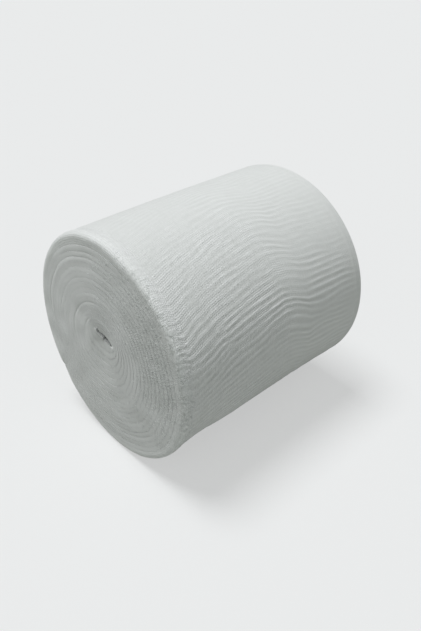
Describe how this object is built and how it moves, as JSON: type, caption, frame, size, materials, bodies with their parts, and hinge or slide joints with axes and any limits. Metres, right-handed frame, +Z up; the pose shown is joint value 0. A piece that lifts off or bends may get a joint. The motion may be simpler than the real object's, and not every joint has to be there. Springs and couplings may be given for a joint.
{
  "type": "gauze bandage roll",
  "caption": "Roll of fluffy crinkle gauze bandage with folded edges and wavy ribs across its width, for wrapping, padding and packing wounds.",
  "frame": {"origin": "middle of the small flat spot that the roll rests on, halfway along the roll", "axes": "+Z up, +Y along the winding axis from the end with the fat rim to the other end, +X to the side"},
  "size_m": [0.108, 0.1172, 0.1078],
  "materials": {
    "gauze": "matte white crinkle cotton gauze, slightly fluffy"
  },
  "bodies": {
    "root": {"gauze_roll": "gauze"}
  },
  "joints": []
}
